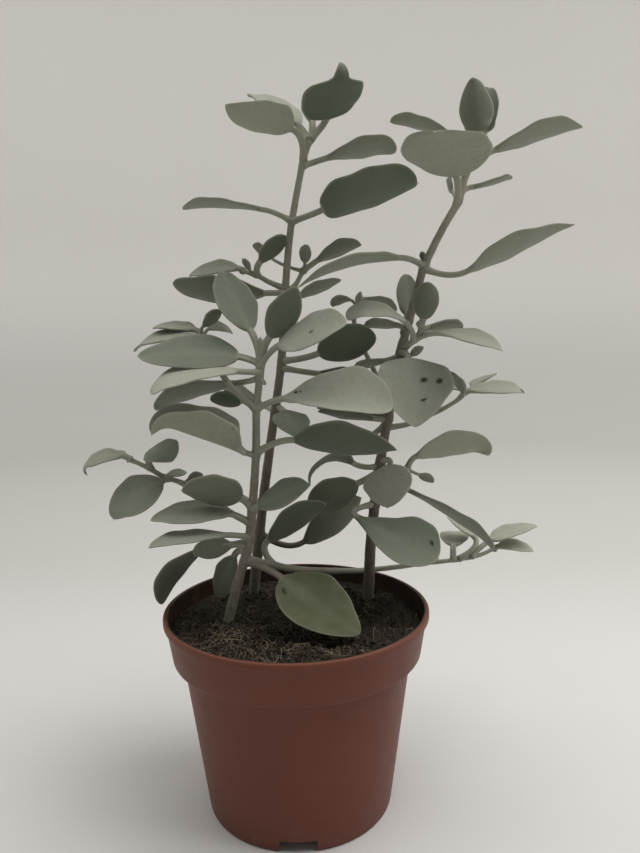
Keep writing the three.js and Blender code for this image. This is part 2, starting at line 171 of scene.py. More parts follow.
def smooth(channel, low, high):
    """0 below low, 1 above high, and a smooth step between. low may be the greater one."""
    settings = {"interpolation_type": "SMOOTHSTEP"}
    inputs = {"Value": channel, "From Min": low, "From Max": high}
    return channel.node("ShaderNodeMapRange", settings, inputs)


def mixed(share, first, second):
    """A colour that goes from first to second as share goes from 0 to 1."""
    settings = {"data_type": "RGBA"}
    return share.node("ShaderNodeMix", settings, {0: share, 6: first, 7: second}, output=2)


def noise(nodes, scale, detail=3.0, rough=0.55):
    """Even noise about 0.5, at a scale in lumps to the metre."""
    inputs = {"Vector": object_place(nodes), "Scale": scale, "Detail": detail, "Roughness": rough}
    return nodes.node("ShaderNodeTexNoise", None, inputs)


def finish_material(nodes, sockets):
    """A Principled surface with these sockets, as the material's output."""
    surface = nodes.node("ShaderNodeBsdfPrincipled", None, sockets)
    nodes.node("ShaderNodeOutputMaterial", None, {"Surface": surface})


bend = np.radians(np.linspace(0, 90, sweep_bend_steps))
sweep_profile = [
    (0.01, 0),
    (sweep_floor / 2, 0),
    *zip(sweep_floor + sweep_bend * np.sin(bend), sweep_bend * (1 - np.cos(bend))),
    (sweep_floor + sweep_bend, sweep_height),
]
sweep_points = turned(sweep_profile, sweep_sides).reshape(-1, 3)
sweep_faces = ring_quads(len(sweep_profile), sweep_sides)[:, ::-1].tolist()
sweep = mesh_object("sweep", sweep_points, sweep_faces)
sweep_material, nodes = start_material("pale sweep")
height = axis_of(object_place(nodes), 2)
behind = axis_of(object_place(nodes), 1)
painted_shade_and_tone = mixed(smooth(height, 0.0, 0.5), (0.71, 0.71, 0.705, 1), (0.70, 0.685, 0.668, 1))
# Painted shade: the floor behind the pot is a darker grey than the rest of the sweep.
painted_shade_far_floor = smooth(behind, 0.05, 0.45) * smooth(height, 0.45, 0.10)
painted_shade_and_tone = mixed(painted_shade_far_floor, painted_shade_and_tone, (0.57, 0.565, 0.55, 1))
# Painted shade: the wall on the camera's side is darker, which also cuts the fill from there.
painted_shade_camera_side = smooth(behind, -0.3, -1.2) * smooth(height, 0.1, 0.8)
painted_shade_and_tone = mixed(painted_shade_camera_side, painted_shade_and_tone, (0.47, 0.465, 0.455, 1))
painted_shade_and_tone = mixed(smooth(noise(nodes, 3.0), 0.3, 0.7) * 0.08, painted_shade_and_tone, (0.60, 0.58, 0.56, 1))
finish_material(nodes, {"Base Color": painted_shade_and_tone, "Roughness": 0.9})
sweep.data.materials.append(sweep_material)


# Light
# Soft daylight from above that leans to the backdrop, so that what faces up is pale, and what
# faces the camera or down is darker. The sky over the open sweep adds a weak even fill.
window_lights = [
    ("skylight_left", (-500, 200, 1700), (-300, 700, 100), 1.6, 11),
    ("skylight_right", (800, 0, 1500), (100, 500, 100), 1.3, 20),
]
fill_strength = 0.20


def unit(vectors):
    """The vectors at length 1."""
    return vectors / np.linalg.norm(vectors, axis=-1, keepdims=True)


for name, place, aim, size, power in window_lights:
    lamp = bpy.data.objects.new(name, bpy.data.lights.new(name, "AREA"))
    lamp.data.size = size
    lamp.data.energy = power
    lamp.data.color = (1.0, 0.98, 0.95)
    back = unit(np.array(place) - np.array(aim, float))
    side = unit(np.cross([0.0, 1.0, 0.0], back))
    stand(lamp, place, np.stack([side, np.cross(back, side), back], axis=1))

world = bpy.data.worlds.new("fill")
world.use_nodes = True
background = world.node_tree.nodes["Background"]
background.inputs["Color"].default_value = (1.0, 0.985, 0.96, 1)
background.inputs["Strength"].default_value = fill_strength
bpy.context.scene.world = world
bpy.context.scene.view_settings.view_transform = "Standard"


# Pot
# A thin-walled round nursery pot, injection-moulded in brown plastic with a satin face. A collar
# steps out below the thickened lip, and the plant's own weight keeps it standing on its foot.
pot_height = 106
rim_radius = 70
lip_height = 4
lip_width = 2.4
lip_step = 0.8
collar_bottom = 83
collar_foot_radius = 65.5
collar_set = 2.2
body_top_radius = 60.5
base_radius = 49.3
wall = 1.3
pot_sides = 160
channel_azimuths = (0, 90, 180, 270)
channel_width = 20
channel_height = 6.5
channel_taper = 1
channel_inner_radius = 24
drain_hole_radius = 5
drain_hole_at = 37
drain_hole_sides = 24
rounding_points = 5
rounding_share = 0.45
longest_face = 6
cut_past_foot = 8


def end_fans(rings, sides):
    """Triangles that close a tube of rings at both ends, about two points after the rings."""
    side = np.arange(sides)
    after = (side + 1) % sides
    last = (rings - 1) * sides
    start = np.stack([after, side, np.full(sides, rings * sides)], axis=1)
    end = np.stack([last + side, last + after, np.full(sides, rings * sides + 1)], axis=1)
    return np.concatenate([start, end])


def tube_faces(rings, sides, first=0):
    """The faces of a tube of rings that is closed at both ends, from the first of its points."""
    tube, ends = ring_quads(rings, sides) + first, end_fans(rings, sides) + first
    return tube.tolist() + ends.tolist()


def body_radius(z):
    """The radius of the outside below the collar: a straight line from foot to collar."""
    return base_radius + (body_top_radius - base_radius) * z / collar_bottom


def collar_radius(z):
    """The radius of the outside of the collar: a straight line up to the lip."""
    share = (z - collar_bottom) / (pot_height - collar_bottom)
    return collar_foot_radius + (rim_radius - lip_step - collar_foot_radius) * share


def rounded(corners):
    """A profile with each corner (radius, height, rounding) replaced by a short curve that runs
    from one side to the other: the quadratic Bezier curve about the corner. The steps between
    far corners are filled in, so that no face is long."""
    corners = np.asarray(corners, float)
    spots = corners[:, :2]
    profile = [spots[0]]
    for before, here, after, reach in zip(spots[:-2], spots[1:-1], spots[2:], corners[1:-1, 2]):
        ends = []
        for other in (before, after):
            length = np.linalg.norm(other - here)
            ends.append(here + (other - here) * min(reach / length, rounding_share))
        share = np.linspace(0, 1, rounding_points)[:, None]
        curve = (1 - share) ** 2 * ends[0] + 2 * share * (1 - share) * here + share**2 * ends[1]
        profile.extend(curve)
    profile.append(spots[-1])
    filled = [profile[0]]
    for here, after in zip(profile[:-1], profile[1:]):
        pieces = max(1, int(np.linalg.norm(after - here) / longest_face))
        filled.extend(here + (after - here) * (i + 1) / pieces for i in range(pieces))
    return np.array(filled)


def prism(outline, low, high):
    """A closed block: the outline's points at the low end, then at the high end, where each
    outline is a list of (x, y, z) points, anticlockwise seen from the high end."""
    count = len(outline(low))
    points = np.concatenate([outline(low), outline(high)])
    faces = ring_quads(2, count).tolist()
    return points, [*faces, list(range(count))[::-1], list(range(count, 2 * count))]


def about_z(points, azimuth):
    """The points turned about +Z by the azimuth."""
    c, s = np.cos(np.radians(azimuth)), np.sin(np.radians(azimuth))
    return np.asarray(points, float) @ np.array([[c, s, 0], [-s, c, 0], [0, 0, 1.0]])


def channel_section(half, low, high, taper=0.0):
    """The end outline of a channel block at a radius: a trapezium, narrower at its top."""

    def outline(radius):
        spots = [(half, low), (half - taper, high), (taper - half, high), (-half, low)]
        return np.array([(radius, across, up) for across, up in spots])

    return outline


def hole_outline(z):
    """A drain hole's circle at height z."""
    circle = turned([(drain_hole_radius, z)], drain_hole_sides)[0]
    return circle + [drain_hole_at, 0, 0]


def cut_or_join(piece, operation, blocks):
    """Join the blocks to the piece or cut them out of it, each a pair of points and faces that is
    turned to every channel's azimuth. The piece gets the new mesh."""
    for points, faces in blocks:
        for azimuth in channel_azimuths:
            tool = mesh_object("tool", about_z(points, azimuth), faces)
            change = piece.modifiers.new("change", "BOOLEAN")
            change.operation = operation
            change.solver = "EXACT"
            change.object = tool
            shape = piece.evaluated_get(bpy.context.evaluated_depsgraph_get())
            after = bpy.data.meshes.new_from_object(shape)
            piece.modifiers.clear()
            bpy.data.objects.remove(tool)
            piece.data = after


shelf = collar_bottom + collar_set
lip_bottom = pot_height - lip_height
pot_profile = rounded([
    (0.02, 0, 0),
    (base_radius, 0, 1.4),
    (body_radius(collar_bottom), collar_bottom, 0.5),
    (collar_foot_radius, collar_bottom, 1.2),
    (collar_radius(lip_bottom), lip_bottom, 0.4),
    (rim_radius, lip_bottom + 0.5, 0.5),
    (rim_radius, pot_height, 1.1),
    (rim_radius - lip_width, pot_height, 0.5),
    (collar_radius(lip_bottom) - wall, lip_bottom - 1, 0.8),
    (collar_radius(shelf) - wall, shelf, 0.8),
    (body_radius(collar_bottom) - wall, collar_bottom, 0.8),
    (body_radius(wall) - wall, wall, 0.8),
    (0.02, wall, 0),
])
pot_rings = turned(pot_profile, pot_sides)
pot_points = np.concatenate([pot_rings.reshape(-1, 3), [[0, 0, 0], [0, 0, wall]]])
pot = mesh_object("nursery_pot", pot_points, tube_faces(len(pot_profile), pot_sides))
channel_half = channel_width / 2
cut_or_join(pot, "UNION", [
    prism(channel_section(channel_half + wall, wall / 2, channel_height + wall),
          channel_inner_radius - wall, base_radius - 2),
])
cut_or_join(pot, "DIFFERENCE", [
    prism(channel_section(channel_half, -1, channel_height, channel_taper),
          channel_inner_radius, base_radius + cut_past_foot),
    prism(hole_outline, channel_height - 1, channel_height + wall + 2),
])
pot.data.polygons.foreach_set("use_smooth", np.ones(len(pot.data.polygons), bool))
pot.data.set_sharp_from_angle(angle=np.radians(35))


def bump(height, strength, distance):
    """The normal of a surface that height raises, where height 1 stands distance metres proud."""
    inputs = {"Strength": strength, "Distance": distance, "Height": height}
    return height.node("ShaderNodeBump", None, inputs)


pot_material, nodes = start_material("brown pot plastic")
place = object_place(nodes)
height = axis_of(place, 2)
cloud = noise(nodes, 22.0, 4.0)
collar_slope = (rim_radius - lip_step - collar_foot_radius) / (pot_height - collar_bottom)
grime = noise(nodes, 130.0, 6.0, 0.7)
colour = mixed(cloud, (0.128, 0.036, 0.021, 1), (0.155, 0.046, 0.028, 1))
# Painted highlight: a paler band round the top of the lip.
painted_highlight_on_lip = smooth(height, 0.1040, 0.1062) * 0.28
colour = mixed(painted_highlight_on_lip, colour, (0.23, 0.095, 0.062, 1))
dusty_foot = smooth(height, 0.030, 0.0) * smooth(grime, 0.42, 0.72) * 0.35
colour = mixed(dusty_foot, colour, (0.17, 0.11, 0.08, 1))
# The inside of the wall above the peat is darker: an even painted shade, with patchy stain on it.
wide = nodes.node("ShaderNodeVectorMath", {"operation": "LENGTH"}, {
    0: nodes.node("ShaderNodeVectorMath", {"operation": "MULTIPLY"}, {0: place, 1: (1, 1, 0)}),
}, output=1)
outside = 0.001 * collar_foot_radius + collar_slope * (height - 0.001 * collar_bottom)
inner_face = smooth(wide - outside, -0.0003, -0.0011) * smooth(height, 0.088, 0.091)
inner_shade_and_stain = inner_face * (0.55 + 0.6 * smooth(grime, 0.3, 0.6))
colour = mixed(inner_shade_and_stain, colour, (0.030, 0.020, 0.014, 1))
smear = smooth(grime, 0.60, 0.72) * smooth(cloud, 0.45, 0.6) * 0.35
colour = mixed(smear, colour, (0.07, 0.025, 0.017, 1))
finish_material(nodes, {
    "Base Color": colour,
    "Roughness": 0.36 + grime * 0.22,
    "Specular IOR Level": 0.28,
    "Normal": bump(noise(nodes, 700.0, 2.0), 0.12, 0.0003),
})
pot.data.materials.clear()
pot.data.materials.append(pot_material)
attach(pot, "root")
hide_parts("pot")


# Peat
# Dark, crumbly peat pressed into the pot up to a centimetre below its lip, and clear of its drain
# channels. Its top is heaped a little before the front stem and hollow behind it.
soil_gap = 0.35
soil_level = 97
soil_edge_band = 8
soil_sides = 220
soil_rings = 84
middle_radius = 10
middle_rings = 12
ripples = [(0.7, 0.11, 0.13), (0.4, 0.17, -0.2)]
mounds = [(-32, -30, 4.5, 17), (14, -52, 2.5, 15), (38, 12, 2, 12), (5, 20, -2.5, 20)]
crumb_count = 4800
fibre_count = 480
clods = [(1.2, 11), (0.8, 4.5)]
grain_height, grain_pitch = 0.5, 1.9
clod_seed = 5
soil_draw = np.random.default_rng(11)


def waves(x, y, pitch, draw, count=14):
    """A rough relief about 0: the mean of sine waves in random directions, all near one pitch."""
    turn = draw.uniform(0, 2 * np.pi, count)
    length = pitch * draw.uniform(0.6, 1.6, count)
    shift = draw.uniform(0, 2 * np.pi, count)
    along = x[..., None] * np.cos(turn) + y[..., None] * np.sin(turn)
    return np.sin(2 * np.pi * along / length + shift).sum(-1) / np.sqrt(count)


def soil_relief(x, y):
    """Long ripples, sines of x and y, and mounds, Gaussians about their middles."""
    relief = sum(high * np.sin(a * x + b * y) for high, a, b in ripples)
    for mid_x, mid_y, high, spread in mounds:
        relief = relief + high * np.exp(-((x - mid_x) ** 2 + (y - mid_y) ** 2) / spread**2)
    return relief


def soil_top(x, y):
    """The peat's height: the relief, fading to the level at the pot's wall, with clods and grains
    on it. Each scale of clod is a set of sine waves, cut so that hollows are sharp."""
    edge = collar_radius(soil_level) - wall - soil_gap
    rise = np.clip((edge - np.hypot(x, y)) / soil_edge_band, 0, 1)
    rise = rise * rise * (3 - 2 * rise)
    draw = np.random.default_rng(clod_seed)
    lumpy = sum(high * np.abs(waves(x, y, pitch, draw)) for high, pitch in clods)
    grains = grain_height * waves(x, y, grain_pitch, draw)
    return soil_level + rise * (soil_relief(x, y) + lumpy - 1.4) + (0.3 + 0.7 * rise) * grains


def set_tone(made, name, values):
    """A number for each of the mesh's points, for its material to read."""
    values = np.asarray(values, np.float32)
    made.data.attributes.new(name, "FLOAT", "POINT").data.foreach_set("value", values)


inside = wall + soil_gap
soil_edge = collar_radius(soil_level) - inside
side_profile = np.array([
    (0.02, inside),
    (body_radius(inside) - inside, inside),
    (body_radius(collar_bottom) - inside, collar_bottom + soil_gap),
    (collar_radius(shelf) - inside, shelf + soil_gap),
])
middle_radii = np.linspace(middle_radius, 0.4, middle_rings)[1:]
top_radii = np.concatenate([np.linspace(soil_edge, middle_radius, soil_rings), middle_radii])
top_profile = np.stack([top_radii, np.full(len(top_radii), float(soil_level))], axis=1)
profile = np.concatenate([side_profile, top_profile])
rings = turned(profile, soil_sides)
top = rings[len(side_profile):]
top[..., 2] = soil_top(top[..., 0], top[..., 1])
points = np.concatenate([rings.reshape(-1, 3), [[0, 0, inside], [0, 0, top[-1, :, 2].mean()]]])
peat_bed = mesh_object("peat_bed", points, tube_faces(len(profile), soil_sides))
cut_or_join(peat_bed, "DIFFERENCE", [
    prism(channel_section(channel_half + inside, -1, channel_height + inside),
          channel_inner_radius - inside, base_radius + cut_past_foot),
])

peat_material, nodes = start_material("dark peat")
grain = noise(nodes, 900.0, 5.0, 0.7)
patch = noise(nodes, 60.0, 4.0)
colour = mixed(smooth(grain, 0.35, 0.68), (0.021, 0.019, 0.016, 1), (0.064, 0.054, 0.043, 1))
tan_patch = smooth(patch, 0.5, 0.68) * smooth(grain, 0.5, 0.62)
colour = mixed(tan_patch, colour, (0.20, 0.155, 0.105, 1))
finish_material(nodes, {
    "Base Color": colour,
    "Roughness": 0.95,
    "Specular IOR Level": 0.1,
    "Normal": bump(grain, 0.9, 0.0010),
})
peat_bed.data.materials.append(peat_material)
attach(peat_bed, "root")
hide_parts("soil")


# Crumbs and root fibres on the peat
# Loose lumps of peat and tan bits of bark, up to some five millimetres long, and threads of pale
# dead root. They lie on the peat, thickest on the mounds round the front stem and before it.
lump_rings = 3
lump_sides = 6
fibre_steps = 8
crumb_heaps = [((-28, -32), (16, 12)), ((12, -46), (24, 9))]


def scattered(count, draw):
    """Places on the peat: a third even over the disc, and a third about each of two mounds, from
    normal draws. What falls past the edge is pulled back to it."""
    third = count // 3
    reach = soil_edge - 1.5
    radius = reach * np.sqrt(draw.uniform(0, 1, count - 2 * third))
    angle = draw.uniform(0, 2 * np.pi, count - 2 * third)
    even = np.stack([radius * np.cos(angle), radius * np.sin(angle)], axis=1)
    heaped = [draw.normal(middle, spread, (third, 2)) for middle, spread in crumb_heaps]
    spots = np.concatenate([even, *heaped])
    far = np.hypot(*spots.T) / reach
    return spots / np.maximum(far, 1)[:, None]


def lumps(spots, sizes, draw):
    """Rough little lumps. Each is a globe of rings from pole to pole whose points are pushed in
    and out at random, stretched along its own three axes and turned about +Z."""
    fall = np.linspace(0, np.pi, lump_rings + 2)[1:-1]
    rings = turned(np.stack([np.sin(fall), -np.cos(fall)], axis=1), lump_sides)
    globe = np.concatenate([rings.reshape(-1, 3), [[0, 0, -1], [0, 0, 1]]])
    count, corners = len(spots), len(globe)
    shape = globe * draw.uniform(0.65, 1.25, (count, corners, 1))
    stretch = sizes[:, None] * draw.uniform((0.7, 0.35, 0.35), (1.5, 0.9, 0.8), (count, 3))
    shape = shape * stretch[:, None]
    turn = draw.uniform(0, 2 * np.pi, count)[:, None]
    x = shape[..., 0] * np.cos(turn) - shape[..., 1] * np.sin(turn)
    y = shape[..., 0] * np.sin(turn) + shape[..., 1] * np.cos(turn)
    z = shape[..., 2] + (soil_top(*spots.T) + 0.3 * sizes)[:, None]
    points = np.stack([x + spots[:, :1], y + spots[:, 1:], z], axis=-1)
    first = (np.arange(count) * corners)[:, None, None]
    quads = (ring_quads(lump_rings, lump_sides) + first).reshape(-1, 4)
    caps = (end_fans(lump_rings, lump_sides) + first).reshape(-1, 3)
    return points.reshape(-1, 3), quads.tolist() + caps.tolist()


def fibres(count, draw):
    """Thin curved threads. Each is a triangle carried along an arc that leaves its spot at a
    random turn, bends at an even rate, and lifts a little in the middle."""
    spots = scattered(count, draw)
    share = np.linspace(0, 1, fibre_steps + 1)
    length = draw.uniform(3, 12, (count, 1))
    turn = draw.uniform(0, 2 * np.pi, (count, 1)) + draw.uniform(-3.0, 3.0, (count, 1)) * share
    step = length / fibre_steps
    x = spots[:, :1] + np.cumsum(np.cos(turn) * step, axis=1)
    y = spots[:, 1:] + np.cumsum(np.sin(turn) * step, axis=1)
    far = np.maximum(np.hypot(x, y) / (soil_edge - 1), 1)
    x, y = x / far, y / far
    lift = draw.uniform(0.2, 2.2, (count, 1)) * np.sin(np.pi * share)
    z = soil_top(x, y) + 0.5 + lift
    middle = np.stack([x, y, z], axis=-1)
    along = unit(np.gradient(middle, axis=1))
    side = unit(np.cross(along, [0, 0, 1.0]))
    up = np.cross(side, along)
    radius = draw.uniform(0.06, 0.16, (count, 1, 1, 1))
    angle = np.radians([0.0, 120.0, 240.0])
    corner = np.cos(angle)[:, None] * side[:, :, None] + np.sin(angle)[:, None] * up[:, :, None]
    points = (middle[:, :, None] + radius * corner).reshape(-1, 3)
    corners = 3 * (fibre_steps + 1)
    first = (np.arange(count) * corners)[:, None, None]
    quads = (ring_quads(fibre_steps + 1, 3)[:, ::-1] + first).reshape(-1, 4)
    ends = (np.array([[0, 1, 2], [corners - 1, corners - 2, corners - 3]]) + first).reshape(-1, 3)
    return points, quads.tolist() + ends.tolist()


spots = scattered(crumb_count, soil_draw)
sizes = 0.32 + 1.3 * soil_draw.uniform(0, 1, crumb_count) ** 3
crumb_points, crumb_faces = lumps(spots, sizes, soil_draw)
crumbs = mesh_object("peat_crumbs", crumb_points, crumb_faces)
heap = np.exp(-((spots[:, 0] + 26) ** 2 / 24**2 + (spots[:, 1] + 32) ** 2 / 20**2))
pale = soil_draw.uniform(0, 1, crumb_count) ** 1.7 * (0.5 + 0.5 * heap)
pale = pale * np.exp(-((sizes / 1.2) ** 4))
set_tone(crumbs, "pale", np.repeat(pale, lump_rings * lump_sides + 2))
crumb_material, nodes = start_material("peat crumbs and bark")
grain = noise(nodes, 1400.0, 4.0, 0.7)
pale_share = nodes.node("ShaderNodeAttribute", {"attribute_name": "pale"}, output=2)
colour = mixed(smooth(pale_share, 0.2, 0.95), (0.040, 0.034, 0.028, 1), (0.36, 0.28, 0.19, 1))
colour = mixed(smooth(grain, 0.38, 0.7) * 0.5, colour, (0.015, 0.011, 0.008, 1))
finish_material(nodes, {
    "Base Color": colour,
    "Roughness": 0.92,
    "Specular IOR Level": 0.2,
    "Normal": bump(grain, 0.6, 0.0005),
})
crumbs.data.materials.append(crumb_material)
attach(crumbs, "root")

fibre_points, fibre_faces = fibres(fibre_count, soil_draw)
root_fibres = mesh_object("root_fibres", fibre_points, fibre_faces)
fibre_material, nodes = start_material("dead root fibre")
shade = noise(nodes, 90.0, 2.0)
colour = mixed(smooth(shade, 0.35, 0.65), (0.08, 0.055, 0.038, 1), (0.38, 0.30, 0.21, 1))
finish_material(nodes, {"Base Color": colour, "Roughness": 0.8, "Specular IOR Level": 0.25})
root_fibres.data.materials.append(fibre_material)
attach(root_fibres, "root")


# Leafy stems
# Each is one grown plant: a slightly woody stem, its side shoots and its thick, felted leaves on
# stout stalks. The three stand rooted in the peat, each on its own.
root_depth = 20
stem_sides = 20
stem_step = 1.2
line_steps = 40
joint_swell = 0.26
joint_reach = 2.2
scar_step = 13
foot_flare = 0.45
dome_length = 1.2
stalk_radius = 1.85
young_stalk_radius = 0.95
stalk_flatness = 0.87
stalk_elbow = 0.45
young_blade = 18
top_thickness = 0.8
under_thickness = 1.05
blade_stations = 44
stalk_stations = 14
leaf_sides = 30
fold_points = 121
hook_start = 0.72
beak_hook = 60
beak_start = 0.62
beak_narrowing = 0.62
young_thickness = 0.75
tip_thinning = 0.45
tip_rounding = 0.035
face_flatness = 0.42
edge_waves = [(0.02, 1.3), (0.012, 3.1)]
groove_depth = 0.35
midrib_dent = 0.22
midrib_ridge = 0.30
edge_felt = 0.75
old_leaf_length = 30
old_leaf_height = 138
leaf_tones = ("blade", "upper", "rim", "rib", "along", "age", "painted_shade_and_tone", "mark")


def stem_line(path):
    """The smooth curve through a path's points, and the length run at each of its points.
    Between two points it is the cubic whose slope at each is half the step from the point before
    to the point after (a Catmull-Rom spline)."""
    path = np.asarray(path, float)
    wide = np.concatenate([[2 * path[0] - path[1]], path, [2 * path[-1] - path[-2]]])
    slope = (wide[2:] - wide[:-2]) / 2
    t = np.linspace(0, 1, line_steps, endpoint=False)[:, None]
    start, end = path[:-1, None], path[1:, None]
    leave, reach = slope[:-1, None], slope[1:, None]
    curve = (2 * t**3 - 3 * t**2 + 1) * start + (t**3 - 2 * t**2 + t) * leave
    curve = curve + (3 * t**2 - 2 * t**3) * end + (t**3 - t**2) * reach
    points = np.concatenate([curve.reshape(-1, 3), path[-1:]])
    run = np.concatenate([[0], np.cumsum(np.linalg.norm(np.diff(points, axis=0), axis=1))])
    return points, run


def along_line(line, run):
    """The points of a stem's line after these lengths."""
    points, lengths = line
    return np.stack([np.interp(run, lengths, points[:, axis]) for axis in range(3)], axis=-1)


def heading(course, pitch):
    """The unit vector at a course, anticlockwise from +X, and a pitch above level, in degrees."""
    course, pitch = np.radians(course), np.radians(pitch)
    level = np.cos(pitch)
    return np.stack([level * np.cos(course), level * np.sin(course), np.sin(pitch)], axis=-1)


def ease(value):
    """0 below 0, 1 above 1, and a smooth step between."""
    value = np.clip(value, 0, 1)
    return value * value * (3 - 2 * value)


def stem_shape(line, radii, dark, joints, rooted, draw):
    """A stem: rings about its line, whose radius goes evenly from foot to tip, swells in a bell
    shape at each pair of leaves and at old leaf scars, and closes in a dome."""
    length = line[1][-1]
    low = -root_depth if rooted else 0
    run = np.append(np.arange(low, length - 0.8, stem_step), length - np.array([0.8, 0.4, 0.12]))
    middle = along_line(line, run)
    middle[:, 2] += np.minimum(run, 0)
    along = unit(np.gradient(middle, run, axis=0))
    chord = middle[-1] - middle[0]
    steep = abs(chord[2]) > 0.6 * np.linalg.norm(chord)
    across = unit(np.cross([0, 1.0, 0] if steep else [0, 0, 1.0], along))
    beyond = np.cross(along, across)
    share = np.clip(run / length, 0, 1)
    radius = radii[0] + (radii[1] - radii[0]) * share
    angle = np.linspace(0, 2 * np.pi, stem_sides, endpoint=False)
    swell = np.zeros((len(run), stem_sides))
    scar = np.zeros((len(run), stem_sides))
    for joint in joints:
        swell += joint_swell * np.exp(-(((run - min(joint, length)) / joint_reach) ** 2))[:, None]
    scars = np.arange(joints[0] - scar_step, 4, -scar_step - 5 * draw.uniform())
    for count, place in enumerate(scars):
        ring = np.exp(-((run - place) ** 2))[:, None]
        sides = np.exp(-((np.sin(angle - np.pi / 2 * (count % 2)) / 0.55) ** 2))
        pair = sides * np.exp(-(((run - place - 0.9) / 1.5) ** 2))[:, None]
        swell += 0.10 * ring + 0.24 * pair
        scar = np.maximum(scar, np.maximum(0.55 * ring * np.ones_like(angle), pair))
    rough = waves(run[:, None] / 3 + 0 * angle, np.cos(angle) * 2 + 0 * run[:, None], 2.4, draw)
    flare = 0 if rooted else foot_flare * np.exp(-((run / 3.0) ** 2))[:, None]
    dome = np.sqrt(np.clip((length - run) / dome_length, 0, 1))[:, None]
    reach = (radius[:, None] * (1 + flare) + swell + 0.05 * rough) * (0.15 + 0.85 * dome)
    ring = np.cos(angle)[:, None] * across[:, None] + np.sin(angle)[:, None] * beyond[:, None]
    points = (middle[:, None] + reach[..., None] * ring).reshape(-1, 3)
    points = np.concatenate([points, [middle[0], middle[-1] + 0.1 * along[-1]]])
    old = np.clip(1 - share * 0.8, 0, 1) if rooted else 0.45 * (1 - share)
    flat = np.ones((len(run), stem_sides))
    values = {
        "along": flat * share[:, None],
        "age": flat * old[:, None],
        # The shoot's darkness is painted shade, and the roughness adds random tone.
        "painted_shade_and_tone": flat * dark + 0.08 * rough,
        "mark": 0.55 * scar * flat,
    }
    tones = {name: np.append(values.get(name, 0 * flat), [0.0, 0.0]) for name in leaf_tones}
    return points, (len(run), stem_sides), tones


